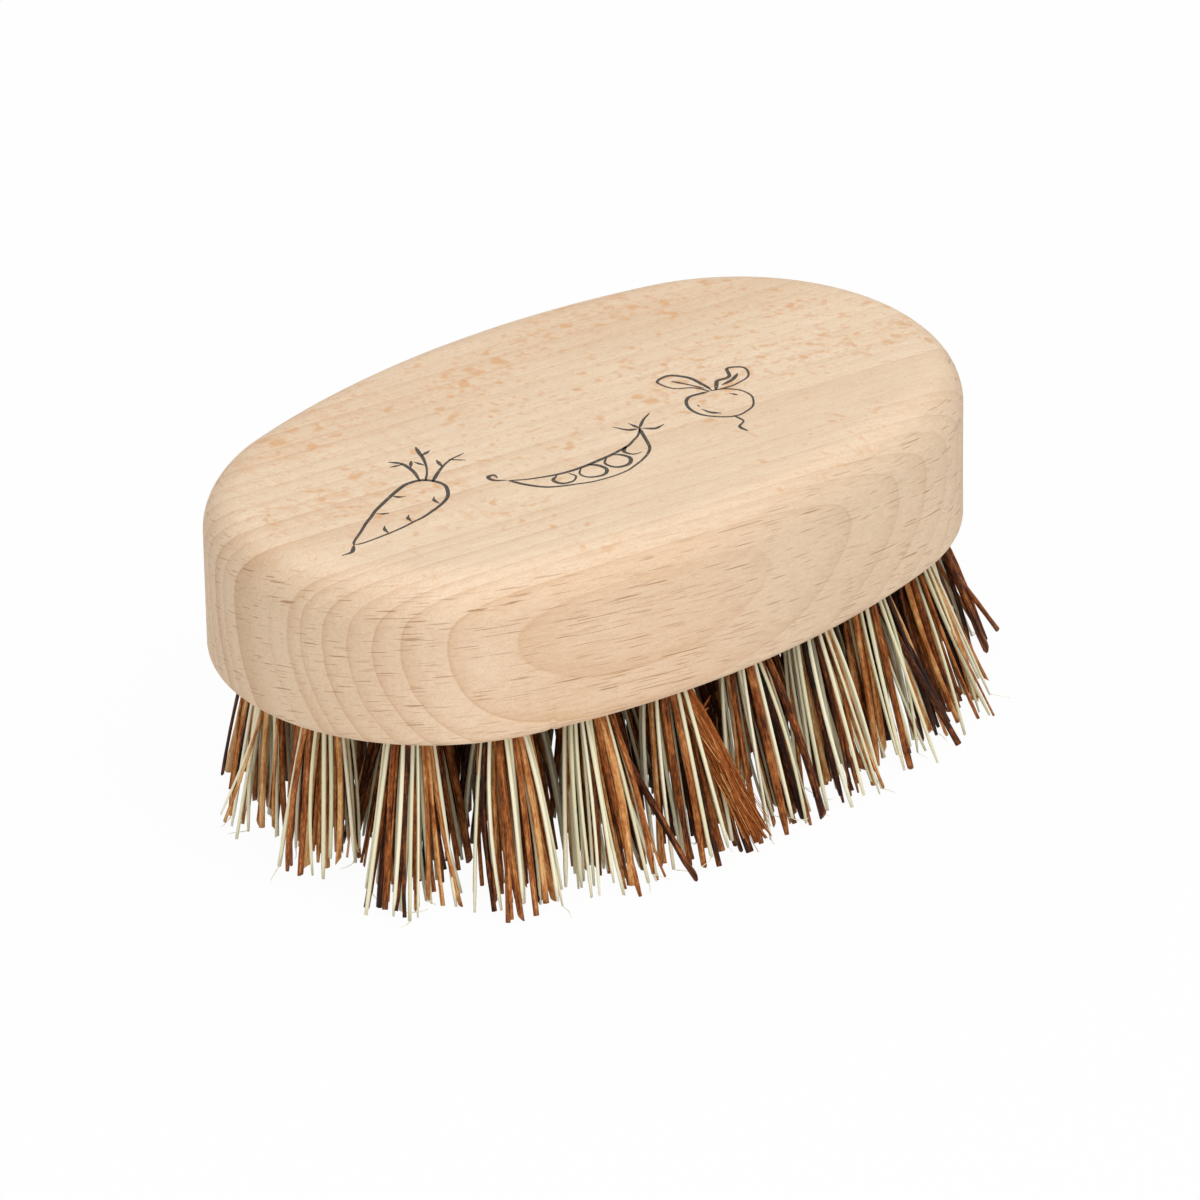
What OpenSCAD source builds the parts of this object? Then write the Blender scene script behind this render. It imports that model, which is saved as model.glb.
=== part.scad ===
// Oval vegetable brush. A solid beech block carries three rows of tufts, two
// of them round the oval and one along its middle. Each tuft is a bundle of
// stiff plant fibre, folded once over a flat wire anchor and driven into its
// own blind hole.
// Origin: on the surface the bristles stand on, under the middle of the block.
// +Z is up and +X runs along the block.

/* [Block] */
// Length of the wooden block
block_l = 100; // [90:1:120]
// Width of the wooden block
block_w = 60.4; // [58:0.4:64]
// Thickness of the wooden block
block_t = 21; // [19:0.5:26]
// Rounding of the upper edge
top_round = 5.8; // [3:0.1:8]
// Rounding of the lower edge
bottom_round = 1; // [0.5:0.1:2]

/* [Holes] */
// Diameter of a tuft's hole
hole_d = 5.2; // [5.1:0.1:5.6]
// Depth of a tuft's hole, along its axis
hole_depth = 12; // [10:0.5:13]
// Distance from the block's edge to the outer row
outer_inset = 7.2; // [6.5:0.1:8]
// Distance from the outer row to the middle row
row_gap = 9.6; // [9:0.1:10]
// Distance between tufts in the centre row
centre_pitch = 11; // [10:0.5:11.5]
// Place of the outer row's first tuft, as a share of the distance between two
outer_start = 0.26; // [0:0.01:0.5]

/* [Tufts] */
// Length of bristle that stands out of the block
bristle_l = 22; // [18:0.5:26]
// Lean of the outer row away from upright, in degrees
outer_lean = 15; // [8:0.5:16]
// Lean of the middle row away from upright, in degrees
middle_lean = 6; // [3:0.5:8]
// Lean of the two end tufts of the centre row, in degrees
centre_lean = 3; // [0:0.5:5]
// How much wider a tuft is at its tips than at its root
tuft_spread = 2.25; // [1.8:0.05:2.4]
// Thickness of a brown fibre, across its corners
brown_d = 1.2; // [1:0.05:1.25]
// Thickness of a pale fibre, across its corners
pale_d = 0.95; // [0.8:0.05:1]
// How far the trimmed ends differ in height
ragged = 2.4; // [1:0.1:3]
// How deep the longest ends are cut flat where the brush stands
flat_cut = 0.5; // [0.3:0.1:0.8]

/* [Anchors] */
// Thickness of the flat anchor wire
anchor_t = 0.4; // [0.3:0.05:0.5]
// Width of the anchor wire, along the hole
anchor_w = 1.8; // [1.5:0.1:2]
// How far each end of an anchor bites into the wood
anchor_bite = 0.7; // [0.5:0.1:0.9]
// Depth of folded fibre between an anchor and the bottom of its hole
anchor_rise = 1.4; // [1:0.1:2]

/* [Hidden] */
outer_count = 20;
middle_count = 14;
centre_count = 5;
inner_strands = 3;
rim_strands = 9;
inner_share = 0.27; // place of the inner strands, as a share of the hole's radius
rim_share = 0.72; // place of the rim strands, likewise
strand_sag = 0.22; // how far a strand's middle is off its straight line
tip_wander = 0.6; // how far a strand's tip is off its even place
root_depth = 1; // how far a strand starts inside its root
tip_taper = 0.86; // thickness at the tip, as a share of that at the root
root_play = 0.05; // gap between a tuft's root and its hole
mouth_margin = 3; // how far a hole's cutter stands out of the block
$fn = 64;

// The outline is four arcs, a round end at each end and a long arc on each side.
// An end arc runs smoothly into a side arc along a seam, a line 7 across to 24
// out, which passes through both their centres.
seam = [7, 24];
end_a = atan2(seam[1], seam[0]);
arc_gap = (block_l - block_w) / 2 / (cos(end_a) + sin(end_a) - 1);
end_c = arc_gap * cos(end_a);
side_c = arc_gap * sin(end_a);
end_r = block_l / 2 - end_c;
side_r = end_r + arc_gap;
seam_reach = 2 * seam; // past the block's edge on any outline
anchor_l = hole_d + 2 * anchor_bite;
middle_inset = outer_inset + row_gap;

beech = [0.90, 0.79, 0.67];
pale = [0.82, 0.80, 0.70];
steel = [0.62, 0.63, 0.65];
browns = [[0.60, 0.36, 0.19], [0.45, 0.24, 0.12], [0.33, 0.18, 0.10], [0.68, 0.47, 0.28]];

// A quarter of an oval that runs inside the block's outline at one distance
// from it: its length, and the place and outward angle after a distance s.
function end_part(inset) = (end_r - inset) * end_a * PI / 180;
function quarter(inset) = end_part(inset) + (side_r - inset) * (90 - end_a) * PI / 180;
function quarter_point(inset, s) =
    let (on_end = s < end_part(inset),
         r = (on_end ? end_r : side_r) - inset,
         a = on_end ? s / r * 180 / PI : end_a + (s - end_part(inset)) / r * 180 / PI)
    [r * cos(a) + (on_end ? end_c : 0), r * sin(a) - (on_end ? 0 : side_c), a];

// The same for the whole oval, counted from its right-hand end.
function row_point(inset, s) =
    let (q = quarter(inset),
         k = floor(s / q) % 4,
         rest = s - floor(s / q) * q,
         p = quarter_point(inset, k % 2 == 0 ? rest : q - rest),
         flip_x = k == 1 || k == 2 ? -1 : 1,
         flip_y = k < 2 ? 1 : -1)
    [flip_x * p[0], flip_y * p[1], atan2(flip_y * sin(p[2]), flip_x * cos(p[2]))];

// A tuft is its place on the block's underside, the direction it leans in and
// how far it leans, and a seed for the places of its strands.
function ring_tufts(inset, count, start, lean, seed) =
    [for (i = [0:count - 1])
        let (p = row_point(inset, (i + start) * 4 * quarter(inset) / count))
        [p[0], p[1], p[2], lean, seed + i]];
outer_tufts = ring_tufts(outer_inset, outer_count, outer_start, outer_lean, 100);
middle_tufts = ring_tufts(middle_inset, middle_count, 0.5, middle_lean, 200);
centre_tufts = [for (i = [0:centre_count - 1])
    let (x = (i - (centre_count - 1) / 2) * centre_pitch)
    [x, 0, x < 0 ? 180 : 0, centre_lean * abs(x) / (2 * centre_pitch), 300 + i]];

function two_digits(i) = str(i < 10 ? "0" : "", i);
function numbered(name, count) = [for (i = [1:count]) str(name, two_digits(i))];
outer_names = numbered("tuft_outer_", outer_count);
middle_names = numbered("tuft_middle_", middle_count);
centre_names = numbered("tuft_centre_", centre_count);

// Section of a round block, from its axis out to its edge.
module rim_section(r) {
    square([r - top_round, block_t]);
    square([r - bottom_round, block_t - top_round]);
    translate([0, bottom_round])
        square([r, block_t - top_round - bottom_round]);
    translate([r - top_round, block_t - top_round])
        circle(r = top_round);
    translate([r - bottom_round, bottom_round])
        circle(r = bottom_round);
}

module round_block(centre, r) {
    translate([centre[0], centre[1], bristle_l])
        rotate_extrude()
            rim_section(r);
}

module slice(outline) {
    translate([0, 0, bristle_l - 1])
        linear_extrude(block_t + 2)
            polygon(outline);
}

module block_end() {
    far = seam_reach[1];
    intersection() {
        round_block([end_c, 0], end_r);
        slice([[end_c, 0], [end_c + seam_reach[0], -far], [end_c + far, -far],
               [end_c + far, far], [end_c + seam_reach[0], far]]);
    }
}

module block_side() {
    intersection() {
        round_block([0, -side_c], side_r);
        slice([[-end_c, 0], [end_c, 0], [end_c, 0] + seam_reach,
               [-end_c - seam_reach[0], seam_reach[1]]]);
    }
}

// The local frame of a tuft: its origin at the hole's mouth, +Z up the hole.
module at_tuft(t) {
    translate([t[0], t[1], bristle_l])
        rotate([0, 0, t[2]])
            rotate([0, -t[3], 0])
                children();
}

module bore(t, d) {
    at_tuft(t)
        translate([0, 0, -mouth_margin])
            cylinder(d = d, h = hole_depth + mouth_margin);
}

module anchor(t) {
    at_tuft(t)
        translate([-anchor_t / 2, -anchor_l / 2, hole_depth - anchor_rise - anchor_w])
            cube([anchor_t, anchor_l, anchor_w]);
}

// A strand is a run of flat sections, highest first, closed at both ends.
module strand(centres, radii, sides, turn) {
    last = len(centres) - 1;
    points = [for (j = [0:last], i = [0:sides - 1])
        centres[j] + radii[j] * [cos(turn + i * 360 / sides), sin(turn + i * 360 / sides), 0]];
    walls = [for (j = [0:last - 1], i = [0:sides - 1])
        let (a = j * sides + i,
             b = j * sides + (i + 1) % sides)
        each [[a, b, b + sides], [a, b + sides, a + sides]]];
    top = [for (i = [1:sides - 2]) [0, i + 1, i]];
    tip = [for (i = [1:sides - 2]) [last * sides, last * sides + i, last * sides + i + 1]];
    polyhedron(points, concat(walls, top, tip));
}

// Every strand of a tuft spreads from one place on the axis, so none cross.
function axis_point(t, drop) =
    [t[0], t[1], bristle_l] + drop * [tan(t[3]) * cos(t[2]), tan(t[3]) * sin(t[2]), -1];
function strand_point(t, offset, drop) =
    axis_point(t, drop) + offset * (1 + (tuft_spread - 1) * drop / bristle_l);

module tuft_strands(t) {
    count = inner_strands + rim_strands;
    wander = rands(-1, 1, 4 * count, t[4]);
    trim = rands(0, 1, count, t[4] + 1000);
    for (i = [0:count - 1]) {
        inner = i < inner_strands;
        rim_step = 360 / rim_strands;
        angle = 67 * t[4] + (inner ? i * 360 / inner_strands + rim_step / 2 : i * rim_step);
        r = hole_d / 2 * (inner ? inner_share : rim_share);
        offset = r * [cos(angle), sin(angle), 0];
        brown = i % 2 == 1;
        end_z = max(0, ragged * pow(trim[i], 2) - flat_cut);
        drop = bristle_l - end_z;
        sag = strand_sag * [wander[4 * i], wander[4 * i + 1], 0];
        stray = tip_wander * [wander[4 * i + 2], wander[4 * i + 3], 0] * drop / bristle_l;
        half = (brown ? brown_d : pale_d) / 2;
        color(brown ? browns[(i + t[4]) % len(browns)] : pale)
            strand([strand_point(t, offset, -root_depth),
                    strand_point(t, offset, drop / 2) + sag + stray / 2,
                    strand_point(t, offset, drop) + stray],
                   [half, half, half * tip_taper], brown ? 4 : 3, angle);
    }
}

// The fibre packed in the hole, folded under its anchor and flush at the mouth.
module tuft_root(t) {
    color(browns[2])
        difference() {
            intersection() {
                bore(t, hole_d - 2 * root_play);
                translate([-block_l / 2, -block_w / 2, bristle_l])
                    cube([block_l, block_w, block_t]);
            }
            anchor(t);
        }
}

module tuft(t) {
    tuft_root(t);
    tuft_strands(t);
}

module anchors(tufts) {
    color(steel)
        for (t = tufts)
            anchor(t);
}

module brush_block() {
    color(beech)
        difference() {
            union() {
                block_end();
                mirror([1, 0, 0])
                    block_end();
                block_side();
                mirror([0, 1, 0])
                    block_side();
            }
            for (t = concat(outer_tufts, middle_tufts, centre_tufts)) {
                bore(t, hole_d);
                anchor(t);
            }
        }
}

brush_block();
for (i = [0:outer_count - 1])
    tuft(outer_tufts[i]);
for (i = [0:middle_count - 1])
    tuft(middle_tufts[i]);
for (i = [0:centre_count - 1])
    tuft(centre_tufts[i]);
anchors(outer_tufts);  // anchors_outer
anchors(middle_tufts);  // anchors_middle
anchors(centre_tufts);  // anchors_centre
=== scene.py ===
from math import atan2, copysign, cos, exp, pi, radians, sin, sqrt, tan

import bmesh
import bpy
import numpy as np
from mathutils import Euler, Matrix, Quaternion, Vector, noise


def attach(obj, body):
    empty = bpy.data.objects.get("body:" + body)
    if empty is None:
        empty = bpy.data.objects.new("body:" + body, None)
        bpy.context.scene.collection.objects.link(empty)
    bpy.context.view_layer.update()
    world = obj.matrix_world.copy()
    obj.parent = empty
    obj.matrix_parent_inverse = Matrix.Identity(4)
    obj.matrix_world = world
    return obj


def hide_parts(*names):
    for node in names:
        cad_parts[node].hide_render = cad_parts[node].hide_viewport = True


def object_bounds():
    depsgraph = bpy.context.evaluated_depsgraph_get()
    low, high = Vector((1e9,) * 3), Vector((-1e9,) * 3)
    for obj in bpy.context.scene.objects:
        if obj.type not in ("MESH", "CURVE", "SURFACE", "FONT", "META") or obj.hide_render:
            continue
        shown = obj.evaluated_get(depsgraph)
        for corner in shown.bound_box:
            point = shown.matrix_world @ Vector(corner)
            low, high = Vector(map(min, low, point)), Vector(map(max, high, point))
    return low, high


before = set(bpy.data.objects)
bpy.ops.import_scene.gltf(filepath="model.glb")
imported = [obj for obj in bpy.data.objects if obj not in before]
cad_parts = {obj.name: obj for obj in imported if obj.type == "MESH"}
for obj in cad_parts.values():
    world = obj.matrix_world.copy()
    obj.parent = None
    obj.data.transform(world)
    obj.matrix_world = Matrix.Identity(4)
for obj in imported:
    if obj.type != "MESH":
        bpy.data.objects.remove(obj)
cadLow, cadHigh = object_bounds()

mm = 0.001  # lengths below are in millimetres


# small helpers for nodes

def shade(red, green, blue):  # a colour read off a screen, 0 to 255, as nodes take it
    parts = [c / 255 for c in (red, green, blue)]
    return tuple(c / 12.92 if c < 0.04045 else ((c + 0.055) / 1.055) ** 2.4 for c in parts) + (1,)


def feed(tree, socket, value):  # a link or a plain value
    if isinstance(value, bpy.types.NodeSocket):
        tree.links.new(value, socket)
    else:
        socket.default_value = value


def newNode(tree, kind):
    return tree.nodes.new("ShaderNode" + kind)


def calc(tree, operation, first, second=None, third=None, clamp=False):
    node = newNode(tree, "Math")
    node.operation = operation
    node.use_clamp = clamp
    for socket, value in zip(node.inputs, (first, second, third)):
        if value is not None:
            feed(tree, socket, value)
    return node.outputs[0]


def plus(tree, first, second, clamp=False):
    return calc(tree, "ADD", first, second, clamp=clamp)


def times(tree, first, second, clamp=False):
    return calc(tree, "MULTIPLY", first, second, clamp=clamp)


def timesPlus(tree, first, second, third, clamp=False):
    return calc(tree, "MULTIPLY_ADD", first, second, third, clamp)


def strongest(tree, soFar, layer):
    return layer if soFar is None else calc(tree, "MAXIMUM", soFar, layer)


def splitXyz(tree, vector):
    node = newNode(tree, "SeparateXYZ")
    feed(tree, node.inputs[0], vector)
    return node.outputs


def joinXyz(tree, x, y, z):
    node = newNode(tree, "CombineXYZ")
    for socket, value in zip(node.inputs, (x, y, z)):
        feed(tree, socket, value)
    return node.outputs[0]


def stretch(tree, vector, factors):
    node = newNode(tree, "VectorMath")
    node.operation = "MULTIPLY"
    feed(tree, node.inputs[0], vector)
    node.inputs[1].default_value = factors
    return node.outputs[0]


def placeInMm(tree):  # where a point lies on the object
    place = newNode(tree, "TexCoord")
    return stretch(tree, place.outputs["Object"], (1 / mm, 1 / mm, 1 / mm))


def grainNoise(tree, vector, factors, detail=2.0, rough=0.5):
    node = newNode(tree, "TexNoise")
    feed(tree, node.inputs["Vector"], stretch(tree, vector, factors))
    node.inputs["Scale"].default_value = 1.0
    node.inputs["Detail"].default_value = detail
    node.inputs["Roughness"].default_value = rough
    return node.outputs["Fac"]


def band(tree, value, low, high, toLow=0.0, toHigh=1.0):  # a soft step between two values
    node = newNode(tree, "MapRange")
    node.interpolation_type = "SMOOTHSTEP"
    for socket, entry in zip(node.inputs, (value, low, high, toLow, toHigh)):
        feed(tree, socket, entry)
    return node.outputs[0]


def blend(tree, factor, first, second):
    node = newNode(tree, "Mix")
    node.data_type = "RGBA"
    feed(tree, node.inputs[0], factor)
    feed(tree, node.inputs[6], first)
    feed(tree, node.inputs[7], second)
    return node.outputs[2]


def colourRamp(tree, value, stops):
    node = newNode(tree, "ValToRGB")
    feed(tree, node.inputs[0], value)
    stopList = node.color_ramp.elements
    stopList[0].position, stopList[0].color = stops[0]
    stopList[1].position, stopList[1].color = stops[-1]
    for position, colour in stops[1:-1]:
        stopList.new(position).color = colour
    return node.outputs[0]


def newGroup(name, inputs, outputs):
    tree = bpy.data.node_groups.new(name, "ShaderNodeTree")
    for label, kind, start in inputs:
        socket = tree.interface.new_socket(name=label, in_out="INPUT", socket_type="NodeSocket" + kind)
        socket.default_value = start
    for label, kind in outputs:
        tree.interface.new_socket(name=label, in_out="OUTPUT", socket_type="NodeSocket" + kind)
    return tree, tree.nodes.new("NodeGroupInput").outputs, tree.nodes.new("NodeGroupOutput").inputs


def placeGroup(tree, group, values):
    node = newNode(tree, "Group")
    node.node_tree = group
    for label, value in values.items():
        feed(tree, node.inputs[label], value)
    return node.outputs


def newMaterial(name, **plain):
    material = bpy.data.materials.new(name)
    material.use_nodes = True
    shader = material.node_tree.nodes["Principled BSDF"]
    for label, value in plain.items():
        shader.inputs[label.replace("_", " ")].default_value = value
    return material, material.node_tree, shader


def dress(tree, shader, bump, height, colour, roughness=None):  # bump: its strength and depth
    feed(tree, shader.inputs["Base Color"], colour)
    if roughness is not None:
        feed(tree, shader.inputs["Roughness"], roughness)
    node = newNode(tree, "Bump")
    for label, value in (("Strength", bump[0]), ("Distance", bump[1] * mm), ("Height", height)):
        feed(tree, node.inputs[label], value)
    feed(tree, shader.inputs["Normal"], node.outputs[0])


# small helpers for meshes

def addObject(name, mesh):
    made = bpy.data.objects.new(name, mesh)
    bpy.context.scene.collection.objects.link(made)
    return made


def meshFrom(form, name):
    mesh = bpy.data.meshes.new(name)
    form.to_mesh(mesh)
    form.free()
    return mesh


def tubeFaces(base, count, sides):  # the wall of a tube, ring by ring, and then its two ends
    faces = []
    for j in range(count - 1):
        for k in range(sides):
            a, b = base + j * sides + k, base + j * sides + (k + 1) % sides
            faces.append((a, b, b + sides, a + sides))
    last = base + (count - 1) * sides
    return faces + [tuple(range(base + sides - 1, base - 1, -1)), tuple(range(last, last + sides))]


def unitRows(rows):
    return rows / np.linalg.norm(rows, axis=1)[:, None]


def runAlong(path):  # how far each point of a path is from its start
    return np.concatenate(([0], np.cumsum(np.linalg.norm(np.diff(path, axis=0), axis=1))))


# beech: one solid texture, so rings, rays and flecks agree on the top, sides and ends

beechValues = {
    "light": shade(249, 227, 199), "dark": shade(203, 154, 108), "ring": shade(200, 165, 130),
    "ray": shade(158, 108, 70), "fleck": shade(224, 170, 120),
    "rings": 0.36, "flecks": 0.68, "rays": 0.69,
    # growth rings counted across the block: place, line, shade before the line and how far it reaches
    "ringLines": [
        (-31.9, 0, 0, 1), (-29.85, 0.6, 0.35, 1.2), (-26.9, 1, 0.4, 1.7), (-23.9, 1, 0.4, 1.6),
        (-21.6, 1, 0.45, 1.5), (-19.1, 0.8, 0.4, 1.5), (-16.4, 1.1, 0.4, 1.5), (-13.75, 0.9, 0.4, 1.4),
        (-11.9, 0.3, 0.75, 1.8), (-9.2, 0.4, 0.2, 0.9), (-7.7, 0.1, 0.05, 0.5), (-2.6, 1.3, 1, 4.9),
        (0.4, 0.4, 0.5, 1.6), (2.8, 1.1, 0.95, 2.2), (5.4, 0.8, 0.4, 1.5), (7.9, 0.9, 0.5, 1.6),
        (10.9, 0.9, 0.4, 1.8), (13.6, 0.8, 0.4, 1.6), (16.9, 1, 0.5, 2), (19.2, 0.8, 0.4, 1.5),
        (22.4, 1, 0.4, 1.8), (25.4, 0.9, 0.4, 1.7), (28.1, 0.7, 0.3, 1.5), (31.5, 0.8, 0.4, 1.9),
        (34.6, 0.6, 0.3, 1.5)],
    # how the grain turns from the length of the block, and how the rays fall along and across it
    "grainTurn": 0.144, "rayFall": (0.09, 0.2),
    # the level of the rings' crests, how they fall above and below it, and how far they waver
    "crest": 34.5, "above": (0.045, 0.0004), "below": 0.03, "waver": 0.8,
    # noise: how close it lies along, across and up, its detail and its roughness
    "noises": {"waver": ((0.03, 0.12, 0.12), 2), "broad": ((0.028, 0.09, 0.08), 3),
               "streak": ((0.12, 2.6, 2.6), 3, 0.6), "cloud": ((0.5, 1.1, 1.6), 2, 0.6),
               "crowd": ((0.06, 0.1, 0.06), 2.5), "pore": ((1.7, 8, 8), 1),
               "speckle": ((4, 4.6, 4.6), 1.5)},
    "toneShares": {"broad": 0.12, "streak": 0.14, "cloud": 0.08},
    # a soft step is written as its two ends and, where they aren't 0 and 1, the values there
    "topEdge": (0.45, 0.97), "endEdge": (0.45, 0.9), "toneEdge": (0.3, 0.75),
    "ringsOnTop": (0.35, 1, 1, 0.8), "ringsAlong": (-26, -6, 1, 0.62),
    # painted shade: the front strip of the top, the sides (more to the right) and part of the ends'
    # darkening
    "paintedFrontShade": (-18, -6, 0.06, 0), "backTone": (4, 18, 0, 0.15),
    "paintedSideShade": (-46, -24, 0.11, 0.29), "endGrainAndShade": 0.24,
    "warmPlace": -22, "greyAway": (8, 30), "greyTop": 0.3,
    "fleckEdge": (0.35, 0.65, 0.63, 0.53), "fleckFront": (-16, 2, 0.07, 0),
    "fleckLeft": (-30, 0, 1, 0.2),
    "poreShare": (0.54, 0.75, 0, 0.24), "speckleShare": (0.35, 0.7, 0, 0.14),
    # layers of rays: closeness, where they begin and are full, and strength
    "rayLayers": [((0.17, 0.3, 5.2), 0.68, 0.74, 1), ((0.24, 0.4, 6.3), 0.65, 0.77, 0.7)],
    # layers of flecks: closeness, shift of their edge, softness, strength, if they thin to the right
    "fleckLayers": [((0.6, 0.62, 0.4), 0, 0.18, 1, False), ((1.1, 1.25, 0.6), -0.03, 0.2, 0.6, False),
                    ((0.9, 0.24, 0.5), -0.05, 0.22, 0.45, True)],
    "rayDetail": 0.6, "fleckDetail": 0.8,
    "roughness": 0.58, "poreRoughness": 0.5, "rayHeight": -0.9, "poreHeight": -1.4, "streakHeight": 0.5,
    "bump": (0.35, 0.06),
}


def makeRings(tree, ringPlace, lines):
    rings = None
    for first in range(0, len(lines) - 1, 6):  # a ramp holds few stops, so the rings go in by sixes
        part = lines[first:first + 7]
        start, span = part[0][0], part[-1][0] - part[0][0]
        stops = [(0.0, (0, 0, 0, 1))]
        for (before, _, _, _), (at, line, dark, reach) in zip(part, part[1:]):
            reach = min(reach, at - before - 0.1)
            # the wood darkens up to the line, and is light again right behind it
            rise = ((-reach, 0.0), (-0.55 * reach, 0.45 * dark), (-0.22, max(dark, 0.55 * line)),
                    (-0.05, line), (0.03, 0.0))
            for step, share in rise:
                stops.append((min(1.0, (at + step - start) / span), (share,) * 3 + (1,)))
        spot = calc(tree, "DIVIDE", calc(tree, "SUBTRACT", ringPlace, start), span, clamp=True)
        rings = strongest(tree, rings, colourRamp(tree, spot, stops))
    return rings


def makeBeechGroup(v):
    tree, inputs, outputs = newGroup(
        "beechGrain",
        [(label, "Color", v[label.lower()]) for label in ("Light", "Dark", "Ring", "Ray", "Fleck")]
        + [(label, "Float", 0.5) for label in ("Rings", "Flecks", "Rays")],
        [("Color", "Color"), ("Roughness", "Float"), ("Height", "Float")])
    x, y, z = splitXyz(tree, placeInMm(tree))
    endwise, _, upwards = splitXyz(tree, newNode(tree, "TexCoord").outputs["Normal"])
    top = band(tree, calc(tree, "ABSOLUTE", upwards), *v["topEdge"])
    side = calc(tree, "SUBTRACT", 1.0, top)
    end = band(tree, calc(tree, "ABSOLUTE", endwise), *v["endEdge"])
    across = timesPlus(tree, x, v["grainTurn"], y)
    level = timesPlus(tree, x, v["rayFall"][0], z)
    level = timesPlus(tree, y, v["rayFall"][1], level)
    grain = joinXyz(tree, x, across, level)
    noises = {name: grainNoise(tree, grain, *entry) for name, entry in v["noises"].items()}

    # rings, curved as in the log
    rise = calc(tree, "SUBTRACT", z, v["crest"])
    upper, lower = calc(tree, "MAXIMUM", rise, 0.0), calc(tree, "MINIMUM", rise, 0.0)
    upper, lower = times(tree, upper, upper), times(tree, lower, lower)
    bulge = times(tree, upper, timesPlus(tree, upper, v["above"][1], v["above"][0]))
    ringPlace = plus(tree, across, timesPlus(tree, lower, v["below"], bulge))
    waver = timesPlus(tree, noises["waver"], v["waver"], -v["waver"] / 2)
    ringPlace = plus(tree, ringPlace, waver)
    ringShare = times(tree, inputs["Rings"], band(tree, top, *v["ringsOnTop"]))
    ringShare = times(tree, ringShare, band(tree, x, *v["ringsAlong"]))
    ringMask = times(tree, makeRings(tree, ringPlace, v["ringLines"]), ringShare, clamp=True)

    # changes of tone: random tone, the finest of it streaks along the grain, and painted shade on the
    # faces
    # the ends darker, as end grain and painted shade
    tone = times(tree, end, v["endGrainAndShade"])
    for name, share in v["toneShares"].items():
        tone = plus(tree, tone, band(tree, noises[name], *v["toneEdge"], 0.0, share))
    # painted shade on the front strip of the top and on the sides, more to the right; the back of the top
    # darker
    for face, run, step in ((top, across, "paintedFrontShade"), (top, across, "backTone"), (side, x, "paintedSideShade")):
        tone = timesPlus(tree, face, band(tree, run, *v[step]), tone)
    shareDark = plus(tree, ringMask, tone, clamp=True)
    away = calc(tree, "ABSOLUTE", calc(tree, "SUBTRACT", x, v["warmPlace"]))
    grey = times(tree, side, band(tree, away, *v["greyAway"]))
    grey = timesPlus(tree, top, v["greyTop"], grey, clamp=True)
    darkTone = blend(tree, grey, inputs["Dark"], inputs["Ring"])
    colour = blend(tree, shareDark, inputs["Light"], darkTone)

    # rays: flat ribbons across the rings, seen as dashes on the sides
    rays = None
    for factors, low, high, power in v["rayLayers"]:
        ray = grainNoise(tree, grain, factors, v["rayDetail"])
        rays = strongest(tree, rays, band(tree, ray, low, high, 0.0, power))
    rays = times(tree, times(tree, rays, side), inputs["Rays"])
    colour = blend(tree, rays, colour, inputs["Ray"])

    # flecks on the top, where the rays lie flat
    edge = plus(tree, band(tree, noises["crowd"], *v["fleckEdge"]), band(tree, across, *v["fleckFront"]))
    toLeft = band(tree, x, *v["fleckLeft"])
    flecks = None
    for factors, shift, soft, power, thins in v["fleckLayers"]:
        low = plus(tree, edge, shift)
        fleck = grainNoise(tree, grain, factors, v["fleckDetail"])
        fleck = band(tree, fleck, low, plus(tree, low, soft), 0.0, power)
        flecks = strongest(tree, flecks, times(tree, fleck, toLeft) if thins else fleck)
    flecks = times(tree, times(tree, flecks, top), inputs["Flecks"])
    colour = blend(tree, flecks, colour, inputs["Fleck"])

    # pores and dust-fine speckle
    fine = plus(tree, band(tree, noises["pore"], *v["poreShare"]),
                band(tree, noises["speckle"], *v["speckleShare"]))
    feed(tree, outputs["Color"], blend(tree, fine, colour, darkTone))
    feed(tree, outputs["Roughness"], timesPlus(tree, fine, v["poreRoughness"], v["roughness"]))
    height = timesPlus(tree, rays, v["rayHeight"], times(tree, fine, v["poreHeight"]))
    feed(tree, outputs["Height"], timesPlus(tree, noises["streak"], v["streakHeight"], height))
    return tree


beechGroup = makeBeechGroup(beechValues)
beechKnobs = {label: beechValues[label.lower()] for label in ("Rings", "Flecks", "Rays")}
beechMaterial, tree, shader = newMaterial("rawBeech", Specular_IOR_Level=0.2)
wood = placeGroup(tree, beechGroup, beechKnobs)
dress(tree, shader, beechValues["bump"], wood["Height"], wood["Color"], wood["Roughness"])
print("beech ready")


# fibres: palm fibre, pale fibre and sheath share one mottling effect

mottleValues = {"patch": ((0.9, 0.9, 0.3), 3, 0.55), "streak": ((4.2, 4.2, 0.16), 2, 0.6),
                "fleck": ((4.5, 4.5, 1.4), 2, 0.6)}


def makeMottleGroup(values):
    tree, inputs, outputs = newGroup(
        "fibreMottle",
        [(label, "Float", 0.5) for label in ("Tone", "Patches", "Streaks", "Flecks")],
        [("Tone", "Float"), ("Height", "Float")])
    run = newNode(tree, "Attribute")  # millimetres round and along the strand
    run.attribute_name = "strandRun"
    noises = {name: grainNoise(tree, run.outputs["Vector"], *entry) for name, entry in values.items()}
    total = 0.0
    for name, knob in (("patch", "Patches"), ("streak", "Streaks"), ("fleck", "Flecks")):
        total = timesPlus(tree, calc(tree, "SUBTRACT", noises[name], 0.5), inputs[knob], total)
    feed(tree, outputs["Tone"], plus(tree, total, inputs["Tone"], clamp=True))
    feed(tree, outputs["Height"], plus(tree, noises["streak"], noises["fleck"]))
    return tree


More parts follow.
